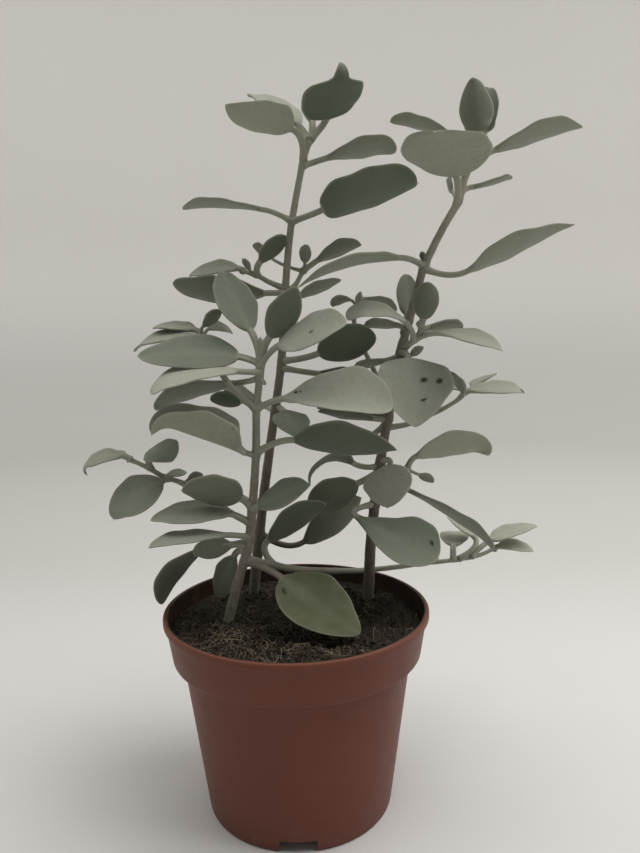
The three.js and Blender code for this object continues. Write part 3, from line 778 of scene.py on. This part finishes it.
def leaf_shape(line, draw, at, turn, rise, stalk, swing, lift, blade, width, arch, roll, hook,
               widest, blunt, shade=0.45, cup=12, marks=()):
    """A leaf: its stalk is a quadratic Bezier curve from the stem, out at turn and rise, to the
    blade's foot. The blade's middle line then runs at the course turn + swing, and its pitch
    goes evenly from lift + arch / 2 to lift - arch / 2 and hooks from hook_start on. With s the
    share of its length, its half width is the sine of pi times a power of s, so that it is
    greatest at widest, to the power blunt, which rounds the ends the more the smaller it is. A
    sharp hook narrows to a beak. Across, from t = -1 at one edge to 1 at the other, its slope
    goes from -cup through 0 to cup, with flattened elliptic faces on both sides of that curve."""
    young = blade <= young_blade
    radius = young_stalk_radius if young else stalk_radius
    plump = young_thickness if young else 1.0
    foot = along_line(line, np.array([min(at, line[1][-1])]))[0]
    joint = foot + stalk * heading(turn, rise)
    course = turn + swing

    # The blade's middle line, from its foot to its tip, with its points closest at both ends.
    s = (1 - np.cos(np.pi * np.linspace(0, 1, blade_stations))) / 2
    s = 0.35 * np.linspace(0, 1, blade_stations) + 0.65 * s
    pitch = lift + arch * (0.5 - s) - hook * ease((s - hook_start) / (1 - hook_start))
    sway = draw.uniform(-5, 5) * np.sin(np.pi * s) + draw.uniform(-3, 3) * (2 * s - 1)
    way = heading(course + sway, pitch)
    steps = (way[1:] + way[:-1]) / 2 * np.diff(s)[:, None] * blade
    blade_line = joint + np.concatenate([np.zeros((1, 3)), np.cumsum(steps, axis=0)])

    # The stalk's line, and both lines together.
    elbow = joint - stalk_elbow * stalk * way[0]
    b = np.linspace(0, 1, stalk_stations, endpoint=False)[:, None]
    stalk_line = (1 - b) ** 2 * foot + 2 * b * (1 - b) * elbow + b**2 * joint
    stalk_way = unit(2 * (1 - b) * (elbow - foot) + 2 * b * (joint - elbow))
    middle = np.concatenate([stalk_line, blade_line])
    forward = unit(np.concatenate([stalk_way, way]))
    s = np.concatenate([np.full(stalk_stations, 0.0), s])
    share = np.concatenate([b[:, 0] - 1, np.zeros(blade_stations)])

    # Side is level, then rolled about the blade's line, and up is square to both.
    level = np.array([np.sin(np.radians(course)), -np.cos(np.radians(course)), 0])
    side = np.cos(np.radians(roll)) * level + np.sin(np.radians(roll)) * np.cross(level, forward)
    side = unit(side - (side * forward).sum(-1, keepdims=True) * forward)
    up = np.cross(side, forward)

    # Half width and half thickness along the leaf.
    run = np.arange(len(s))
    swept = np.clip(s, 0, 1) ** (np.log(0.5) / np.log(widest))
    blade_half = width / 2 * np.abs(np.sin(np.pi * swept)) ** blunt
    beak = np.clip((abs(hook) - beak_hook) / 30, 0, 1) * ease((s - beak_start) / 0.16)
    blade_half = blade_half * (1 - beak_narrowing * beak)
    fade = ease((s - 0.80) / 0.2)
    narrow = radius * (1 + 0.35 * np.exp(-(((share + 1) / 0.16) ** 2)) * (run < stalk_stations))
    stalk_half = narrow * (1 - 0.97 * fade)
    half = (blade_half**3 + stalk_half**3) ** (1 / 3)
    flat = np.where(s < 0.35, ease(blade_half / (0.42 * width)), 1.0)
    thin = 1 - tip_thinning * ease((s - 0.55) / 0.45)
    end = np.sqrt(np.clip((1 - s) / tip_rounding, 0, 1))
    over = (stalk_flatness * narrow * (1 - flat) + plump * top_thickness * thin * flat) * end
    under = (stalk_flatness * narrow * (1 - flat) + plump * under_thickness * thin * flat) * end

    # The sections, round from the right edge by the underside to the left edge and the top.
    angle = np.linspace(0, 2 * np.pi, leaf_sides, endpoint=False)
    t = np.cos(angle)
    lower = np.sin(angle) > 0
    face = np.abs(np.sin(angle)) ** (1 - face_flatness * flat[:, None])
    crease = max(cup, 1) / 25
    spread = np.linspace(-1, 1, fold_points)
    bow = np.radians(cup) * np.tanh(crease * spread) / np.tanh(crease) * ease(s / 0.2)[:, None]
    gap = spread[1] - spread[0]
    flat_run = np.cumsum(np.cos(bow), axis=1) * gap
    rise_run = np.cumsum(np.sin(bow), axis=1) * gap
    nearest = np.searchsorted(spread, t).clip(1, fold_points - 1)
    part = (t - spread[nearest - 1]) / gap
    bow_across = flat_run[:, nearest - 1] * (1 - part) + flat_run[:, nearest] * part
    bow_height = rise_run[:, nearest - 1] * (1 - part) + rise_run[:, nearest] * part
    bow_across = bow_across - flat_run[:, fold_points // 2, None]
    bow_height = bow_height - rise_run[:, fold_points // 2, None]
    shifts = draw.uniform(0, 2 * np.pi, (len(edge_waves), 2))
    wobble = flat[:, None] * sum(
        high * np.sin(2 * np.pi * count * s[:, None] + np.where(t > 0, *shift))
        for (high, count), shift in zip(edge_waves, shifts)
    )
    wide = half[:, None] * (1 + wobble)
    across = wide * bow_across
    wave = wide * bow_height + 1.3 * wobble * width * 0.5 * t**2
    away = np.abs(t) * half[:, None]
    rib = np.exp(-((away / (0.5 + 0.035 * width)) ** 2)) * flat[:, None] * (1 - 0.8 * s[:, None])
    groove = groove_depth * np.exp(-((t / 0.45) ** 2)) * narrow[:, None] * (1 - flat[:, None])
    groove = groove * ease((share + 0.9) / 0.3)[:, None] * (run < stalk_stations + 12)[:, None]
    top = over[:, None] * face - groove - midrib_dent * rib * plump
    bottom = -under[:, None] * face - midrib_ridge * rib * plump
    height = wave + np.where(lower, bottom, top)
    points = middle[:, None] + across[..., None] * side[:, None] + height[..., None] * up[:, None]
    tip = middle[-1] + (0.5 if young else 0.9) * forward[-1]
    points = np.concatenate([points.reshape(-1, 3), [foot, tip]])

    # The tones that the material reads.
    grid = np.ones_like(height)
    near_edge = np.maximum(0, half[:, None] * (1 - np.abs(t)))
    near_edge = np.minimum(near_edge, np.maximum(0, (1 - s[:, None]) * blade))
    mark = np.zeros_like(height)
    for place_s, place_t, size in marks:
        apart = np.hypot((s[:, None] - place_s) * blade, (t - place_t) * half[:, None])
        mark = np.maximum(mark, np.exp(-((apart / size) ** 4)) * np.where(lower, 0.0, 1.0))
    values = {
        "blade": ease(s / 0.07)[:, None] * grid,
        "upper": np.where(lower, 0.5 - 0.5 * face, 0.5 + 0.5 * face),
        "rim": np.exp(-((near_edge / edge_felt) ** 2)) * flat[:, None],
        "rib": rib,
        "along": s[:, None] * grid,
        "age": (blade > old_leaf_length) * ease((old_leaf_height - joint[2]) / 14) * grid,
        # Painted shade: the leaf's shade, with a little random tone.
        "painted_shade_and_tone": np.clip(shade + draw.uniform(-0.08, 0.08), 0, 1) * grid,
        "mark": mark,
    }
    tones = {name: np.append(value, [0.0, value[-1, -1]]) for name, value in values.items()}
    return points, (len(s), leaf_sides), tones


def grown(name, shoots, seed):
    """One leafy stem: its main stem and side shoots, each with its leaves, in one mesh. A shoot
    is its darkness, a painted shade on its old bark, the radii at its foot and tip, the points of
    its line and its leaves."""
    points, faces, tones = [], [], []
    start = 0
    for number, (dark, radii, path, leaves) in enumerate(shoots):
        line = stem_line(path)
        draw = np.random.default_rng([seed, number])
        joints = sorted({leaf[0] for leaf in leaves})
        shapes = [stem_shape(line, radii, dark, joints, number == 0, draw)]
        shapes += [leaf_shape(line, draw, *leaf) for leaf in leaves]
        for shape_points, (rings, sides), shape_tones in shapes:
            points.append(shape_points)
            faces.extend(tube_faces(rings, sides, start))
            tones.append(shape_tones)
            start += len(shape_points)
    made = mesh_object(name, np.concatenate(points), faces)
    for tone in leaf_tones:
        set_tone(made, tone, np.concatenate([shape_tones[tone] for shape_tones in tones]))
    made.data.materials.append(felt)
    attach(made, "root")
    return made


felt, nodes = start_material("silver felted leaf")
tone = {
    name: nodes.node("ShaderNodeAttribute", {"attribute_name": name}, output=2)
    for name in leaf_tones
}
cloud = noise(nodes, 55.0, 3.0)
fleck = noise(nodes, 420.0, 4.0, 0.65)
nap = noise(nodes, 1900.0, 3.0, 0.7)
upper = smooth(tone["upper"], 0.25, 0.75)
# Painted shade: each leaf's shade takes its top and underside from the pale colours to the dark
# ones.
top_colour = mixed(tone["painted_shade_and_tone"], (0.395, 0.405, 0.335, 1), (0.166, 0.190, 0.142, 1))
old_top = mixed(smooth(cloud, 0.35, 0.65), (0.080, 0.093, 0.045, 1), (0.105, 0.116, 0.060, 1))
top_colour = mixed(smooth(tone["age"], 0.2, 0.8), top_colour, old_top)
under_colour = mixed(tone["painted_shade_and_tone"], (0.345, 0.355, 0.280, 1), (0.090, 0.110, 0.071, 1))
colour = mixed(upper, under_colour, top_colour)
colour = mixed(smooth(cloud, 0.30, 0.72) * 0.12, colour, (0.22, 0.24, 0.195, 1))
colour = mixed(smooth(fleck, 0.32, 0.70) * 0.14, colour, (0.07, 0.08, 0.06, 1))
colour = mixed(tone["rib"] * upper * 0.22, colour, (0.46, 0.49, 0.37, 1))
colour = mixed(tone["rim"] * 0.24, colour, (0.50, 0.50, 0.40, 1))
bark = mixed(smooth(fleck, 0.30, 0.75), (0.220, 0.205, 0.165, 1), (0.305, 0.288, 0.238, 1))
fresh = mixed(smooth(cloud, 0.35, 0.65), (0.270, 0.268, 0.212, 1), (0.348, 0.345, 0.276, 1))
stem_colour = mixed(smooth(tone["age"], 0.1, 0.75), fresh, bark)
# Painted shade: the old bark of the darker shoots, at the back and right, goes darker still.
painted_shade_on_old_bark = tone["painted_shade_and_tone"] * smooth(tone["age"], 0.2, 0.9)
stem_colour = mixed(painted_shade_on_old_bark, stem_colour, (0.12, 0.10, 0.08, 1))
colour = mixed(smooth(tone["blade"], 0.0, 0.5), stem_colour, colour)
cell_inputs = {"Vector": object_place(nodes), "Scale": 210.0, "Randomness": 1.0}
cells, cell_colour = [
    nodes.node("ShaderNodeTexVoronoi", None, cell_inputs, output=output) for output in (0, 1)
]
picked = nodes.node("ShaderNodeSeparateColor", None, {"Color": cell_colour}, output=0)
specks = smooth(cells, 0.17, 0.08) * smooth(picked, 0.86, 0.90) * (0.55 + 0.4 * tone["age"])
colour = mixed(specks, colour, (0.085, 0.065, 0.045, 1))
scarred = smooth(tone["mark"], 0.25, 0.75) * (0.55 + 0.8 * fleck)
colour = mixed(scarred, colour, (0.030, 0.026, 0.018, 1))
finish_material(nodes, {
    "Base Color": colour,
    "Roughness": 0.78 + 0.2 * (nap - 0.5),
    "Specular IOR Level": 0.25,
    "Sheen Weight": 0.22,
    "Sheen Roughness": 0.5,
    "Sheen Tint": (0.93, 0.95, 0.90, 1),
    "Normal": bump(fleck * 0.6 + nap * 0.4, 0.35, 0.0004),
})

# The stem at the front left, with two side shoots to the left and a low one to the right. Each
# leaf is: length up the stem, turn, rise, stalk, swing, lift, blade, width, arch, roll, hook,
# widest, blunt, and where they aren't the usual ones, shade, cup and marks (along, across, size).
# Shade is painted shade on the whole leaf, pale at 0 and dark at 1, for the light it stands in.
front_stem = grown("leafy_stem_at_front", [
    (0.1, (2.7, 1.8), [
        (-37, 0, 97), (-31, -1, 119), (-25, -1, 138), (-22, -2, 158), (-19, -3, 188),
        (-18, -4, 210), (-16, -5, 226), (-15, -5, 236),
    ], [
        (141, 145, 70, 17, 0, 60, 35, 22, -10, 25, -10, 0.52, 0.52, 1),
        (141, 330, 65, 14, 0, 55, 29, 16, -10, 55, -5, 0.45, 0.65, 0.8),
        (141, 180, 85, 3, -130, 85, 10, 4, 0, -5, 0, 0.45, 0.8),
        (141, 70, 60, 4, 0, 70, 9, 3, 0, 90, 0, 0.45, 0.8),
        (140, 170, 20, 12, 15, 0, 50, 22, 22, 50, -10, 0.42, 0.6, 0.95),
        (139, 325, 40, 16, 5, 15, 40, 26, 15, -45, 5, 0.5, 0.62, 0.35, 12,
         [(0.53, 0.05, 1.3), (0.5, 0.16, 0.9), (0.56, 0.14, 0.8)]),
        (136, 210, 5, 12, -15, -10, 45, 27, 30, 15, 20, 0.56, 0.52, 0.1),
        (133, 145, -10, 15, 20, -15, 50, 30, 15, -15, 15, 0.5, 0.62, 0.7, 12, [(0.1, 0.1, 1.6)]),
        (117, 150, 20, 10, 20, 5, 17, 11, 10, -55, 10, 0.5, 0.5, 1),
        (117, 330, 20, 17, 15, -5, 56, 39, 30, -30, 0, 0.6, 0.6, 0.3, 30,
         [(0.12, -0.35, 1.3), (0.17, -0.25, 0.9)]),
        (93, 205, 20, 6, -10, 22, 50, 36, 5, 10, 60, 0.42, 0.6, 0.1, 78),
        (94, 350, 20, 21, 0, -5, 53, 32, 10, 40, 5, 0.45, 0.8, 1),
        (63, 210, 50, 10, -10, 15, 31, 24, 20, -50, 10, 0.4, 0.6, 0.7),
        (56, 195, 30, 13, -5, 0, 40, 24, 15, 15, 10, 0.5, 0.68, 0.6),
        (49, 215, 15, 14, -10, 0, 40, 24, 15, 0, 10, 0.5, 0.68, 0.5),
        (47, 170, -15, 10, 15, -10, 21, 12, 10, -90, 10, 0.5, 0.62),
        (44, 170, -5, 24, -5, -50, 44, 22, 50, -20, 10, 0.5, 0.62, 0.9),
        (40, 130, -20, 13, 30, -65, 27, 16, 0, 75, 10, 0.5, 0.6, 0.9),
        (65, 300, 15, 7, 40, 25, 31, 18, 10, -45, 10, 0.5, 0.7, 1),
        (35, 335, -15, 23, -5, -25, 50, 36, -5, -20, 0, 0.42, 0.7, 0.45, 12,
         [(0.13, 0.5, 1.8), (0.17, 0.42, 1.4)]),
        (133, 300, -10, 3, 0, -40, 4, 2.2, 0, 0, 0, 0.5, 0.6, 0.9),
    ]),
    (0, (1.9, 1.3), [
        (-18, -4, 212), (-27, -4, 220), (-34, -2, 228), (-41, 5, 241), (-46, 10, 249),
    ], [
        (50, 135, 30, 7, 25, 5, 27, 16, 20, 15, 10, 0.5, 0.68),
        (50, 285, 60, 6, 85, 40, 13, 8, 10, 55, 0, 0.5, 0.65, 0.8),
        (49, 55, 50, 6, -15, -10, 16, 10, 70, -35, 0, 0.5, 0.6),
        (47, 180, 20, 8, -15, -10, 35, 21, 30, 20, 25, 0.5, 0.6, 0.4),
    ]),
    (0, (1.9, 1.1), [
        (-23, -2, 152), (-33, 2, 156), (-40, 5, 160), (-59, 9, 171), (-70, 10, 175), (-78, 10, 180),
        (-89, 8, 186),
    ], [
        (74, 195, 30, 5, -10, -20, 25, 14, 55, 22, 80, 0.42, 0.62),
        (62, 180, 85, 9, 135, -5, 23, 20, 60, -30, 10, 0.5, 0.65, 0.9),
        (52, 250, -5, 5, -45, -30, 32, 25, 15, 35, 30, 0.48, 0.6, 0.8),
        (53, 85, 10, 4, -50, 0, 11, 6, 15, -35, 0, 0.5, 0.65),
        (42, 65, 35, 3, -40, 15, 9, 6, 15, 80, 0, 0.5, 0.65),
        (75, 130, 10, 5, 5, 5, 14, 8, 15, 0, 0, 0.5, 0.65),
    ]),
    (0, (2.1, 1.1), [
        (-26, -1, 132), (-15, 6, 127), (2, 16, 120), (30, 36, 112), (41, 43, 110), (61, 48, 110),
        (74, 50, 111), (93, 52, 112), (109, 54, 114), (119, 55, 118),
    ], [
        (17, 130, 70, 13, -115, 30, 38, 23, 15, 55, 10, 0.5, 0.68, 0.9),
        (137, 80, 60, 9, -5, 10, 21, 18, 15, 0, 10, 0.5, 0.5, 0.1),
        (148, 15, 35, 17, -5, 15, 30, 18, 15, -5, 10, 0.38, 0.6, 0.0),
        (163, 30, 10, 4, -20, -10, 24, 15, 35, -15, 10, 0.5, 0.62, 0.0),
        (140, 20, 50, 17, 120, 30, 21, 13, 10, 0, 10, 0.5, 0.65, 0.1),
    ]),
], seed=3)
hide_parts("leafy_stem_front")

# The tall stem at the back left, with a short shoot on each side of it below its top.
tall_stem = grown("leafy_stem_at_back", [
    (0.75, (3.1, 1.6), [
        (-27, 42, 98), (-24, 41, 121), (-19, 38, 157), (-16, 36, 176), (-9, 33, 218), (-6, 31, 238),
        (-3, 29, 275), (0, 28, 302), (3, 28, 318), (8, 27, 340), (12, 27, 352),
    ], [
        (246, 235, 55, 17, -25, 5, 38, 29, 15, -15, -35, 0.4, 0.74, 0.05),
        (256, 120, 45, 16, 20, 35, 44, 26, 15, 10, 25, 0.5, 0.62),
        (257, 10, 50, 15, -80, 31, 34, 36, -20, -15, -95, 0.38, 0.52, 1),
        (257, 65, 70, 11, 45, 70, 19, 10, -5, 0, 10, 0.42, 0.6),
        (243, 20, 20, 14, -10, 10, 40, 24, 15, 15, 35, 0.62, 0.52, 0.3),
        (214, 340, 15, 18, 10, 16, 52, 38, 10, 20, 25, 0.42, 0.42, 0.9),
        (214, 165, 25, 17, 0, 5, 48, 29, 15, 0, 10, 0.5, 0.62),
        (176, 195, 0, 11, -10, 5, 50, 30, -14, -25, -15, 0.55, 0.5, 0.9),
        (173, 330, 5, 9, 15, 20, 25, 15, -5, 15, 10, 0.5, 0.62, 0.6),
        (139, 350, 10, 21, 5, 15, 33, 23, 10, 60, 10, 0.5, 0.5, 1),
        (135, 10, -10, 21, 20, -15, 32, 19, 15, 30, 10, 0.5, 0.6, 0.9),
        (114, 310, -25, 8, -15, -25, 27, 20, 15, -5, 10, 0.45, 0.65, 1),
        (37, 10, -15, 27, 5, 35, 43, 30, -15, 58, 10, 0.5, 0.6, 0.8),
        (57, 130, -5, 19, 5, 5, 39, 23, 15, -50, 10, 0.5, 0.6),
        (110, 120, 10, 17, 15, 10, 35, 21, 15, -50, 10, 0.5, 0.6),
    ]),
    (0, (1.6, 1.1), [
        (-3, 29, 274), (-12, 31, 278), (-19, 33, 282), (-28, 34, 285),
    ], [
        (18, 295, 50, 9, 50, 40, 20, 12, 10, 35, 10, 0.5, 0.6, 0.8),
        (26, 140, 25, 4, 30, -5, 30, 18, 25, 30, 10, 0.5, 0.6),
        (21, 255, 30, 4, -45, 55, 7, 4, 15, -40, 0, 0.5, 0.6),
    ]),
    (0, (1.6, 1.1), [
        (-3, 29, 272), (2, 32, 276), (5, 35, 281), (8, 36, 287),
    ], [
        (18, 295, 60, 4, 100, 80, 10, 8, 15, 90, 0, 0.5, 0.5),
        (17, 15, 35, 10, -5, 20, 27, 16, 25, 30, 10, 0.5, 0.7, 0.8),
        (17, 175, 25, 21, -30, 30, 13, 8, 15, -60, 0, 0.5, 0.7),
    ]),
], seed=7)
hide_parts("leafy_stem_tall")

# The stem on the right, with short shoots all round it.
right_stem = grown("leafy_stem_at_right", [
    (0.8, (3.2, 1.7), [
        (40, 29, 97), (42, 28, 133), (44, 27, 151), (48, 26, 180), (52, 24, 204), (58, 21, 235),
        (61, 20, 248), (68, 18, 274), (71, 17, 284), (80, 16, 302), (88, 15, 316), (92, 14, 330),
        (97, 13, 346),
    ], [
        (258, 275, 30, 5, -60, 80, 26, 20, -25, -35, 10, 0.42, 0.55, 0.65, 45),
        (258, 45, 35, 8, -10, 80, 24, 18, 25, -35, 10, 0.42, 0.55, 0.85, 45),
        (227, 250, 55, 14, -5, 15, 43, 44, 0, 0, 0, 0.5, 0.45, 0.3),
        (241, 130, 65, 23, 25, 20, 35, 21, 20, -10, 10, 0.5, 0.6),
        (243, 10, 35, 17, -5, 15, 50, 30, 15, 10, 5, 0.46, 0.85, 0.4),
        (228, 45, 35, 13, -15, 15, 32, 19, -10, 5, 10, 0.5, 0.8),
        (226, 95, 40, 12, 0, 35, 14, 9, 15, -85, 0, 0.5, 0.8),
        (189, 355, -5, 23, 0, 23, 58, 35, 5, 15, 5, 0.42, 0.95, 0.5),
        (190, 205, 15, 16, -10, -15, 57, 26, 30, -10, 5, 0.5, 0.68),
        (160, 90, 35, 7, -5, 70, 24, 15, -10, -25, 10, 0.45, 0.52, 0.8, 25),
        (147, 105, 65, 12, 45, 0, 21, 13, 20, -25, 10, 0.5, 0.68),
        (144, 325, -25, 6, 50, 30, 9, 5, 15, 80, 0, 0.5, 0.68),
        (142, 160, -20, 9, -5, -15, 20, 12, 15, -20, 10, 0.5, 0.6),
        (143, 285, -15, 10, 2, -75, 37, 46, 10, 5, -5, 0.35, 0.7, 0.45, 24,
         [(0.33, -0.3, 1.4), (0.38, -0.2, 0.9), (0.36, -0.66, 1.5), (0.39, -0.56, 1.0),
          (0.62, -0.3, 0.9)]),
        (108, 165, 10, 10, 0, 5, 31, 19, 15, -25, 10, 0.5, 0.65, 1),
        (106, 195, 5, 8, -10, 10, 31, 19, 0, -25, 10, 0.5, 0.65, 1),
        (105, 125, -35, 15, -5, -30, 29, 18, 15, -5, 10, 0.5, 0.62),
        (82, 300, -5, 9, -45, -65, 24, 34, 5, -30, 5, 0.44, 0.65, 0.0),
        (79, 190, 10, 16, 10, -20, 34, 22, 110, -22, 25, 0.5, 0.6, 0.9),
        (76, 170, -30, 14, 0, -30, 33, 22, 10, -70, 10, 0.5, 0.6, 0.75),
        (71, 10, -20, 18, -5, -35, 62, 37, 10, 10, 10, 0.5, 0.7, 0.6),
        (57, 225, -15, 16, 105, -22, 50, 40, -10, -20, -10, 0.7, 0.5, 1, 25, [(0.86, -0.5, 1.6)]),
        (191, 235, 50, 2.5, 0, 65, 5, 3.6, 0, 0, 0, 0.5, 0.5, 0.95),
        (149, 262, 60, 3, 0, 70, 5, 3.4, 0, 0, 0, 0.5, 0.5, 1),
    ]),
    (0, (1.8, 1.3), [
        (60, 20, 241), (64, 16, 244), (68, 13, 249), (68, 11, 254),
    ], [
        (18, 280, 35, 5, 25, 80, 19, 15, -20, 35, 0, 0.5, 0.5, 0.8, 30),
        (15, 15, 15, 4, 10, 0, 22, 13, 20, 25, 10, 0.5, 0.65),
        (8, 335, 15, 14, 10, -15, 34, 20, 25, -20, 10, 0.55, 0.62, 0.0),
        (8, 235, 45, 14, -35, 5, 34, 20, 60, 25, 30, 0.5, 0.62, 0.1),
    ]),
    (0, (1.6, 1.1), [
        (52, 24, 210), (45, 34, 229), (36, 37, 248), (34, 37, 261),
    ], [
        (54, 150, 80, 10, 20, -15, 12, 7, 70, -45, 40, 0.6, 0.5),
        (55, 20, 50, 12, -5, -20, 20, 12, 35, 20, 10, 0.5, 0.6),
        (56, 340, 45, 5, 20, 85, 9, 6, 15, 45, 0, 0.5, 0.75),
    ]),
    (0, (1.7, 1.1), [
        (50, 25, 197), (64, 27, 199), (79, 28, 205), (90, 28, 211), (95, 28, 216),
    ], [
        (50, 320, 15, 3, 35, 0, 30, 18, 20, -20, 20, 0.5, 0.72, 0.2, 12, [(0.97, 0.0, 2.0)]),
        (46, 290, 35, 4, -80, 50, 17, 10, 30, 0, 0, 0.5, 0.7),
        (48, 70, 30, 5, 40, 5, 13, 8, 15, 20, 0, 0.5, 0.75),
        (50, 45, 15, 9, 5, 15, 24, 15, 15, 15, 10, 0.5, 0.75),
    ]),
    (0, (1.7, 1.2), [
        (46, 26, 171), (55, 26, 171), (63, 25, 174),
    ], [
        (17, 340, 55, 9, 25, 5, 44, 27, 35, 40, 45, 0.48, 0.65, 0.0, 12, [(0.97, 0, 1.5)]),
        (17, 350, -25, 7, 30, -30, 11, 7, 20, 40, 0, 0.5, 0.65),
    ]),
], seed=13)
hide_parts("leafy_stem_right")
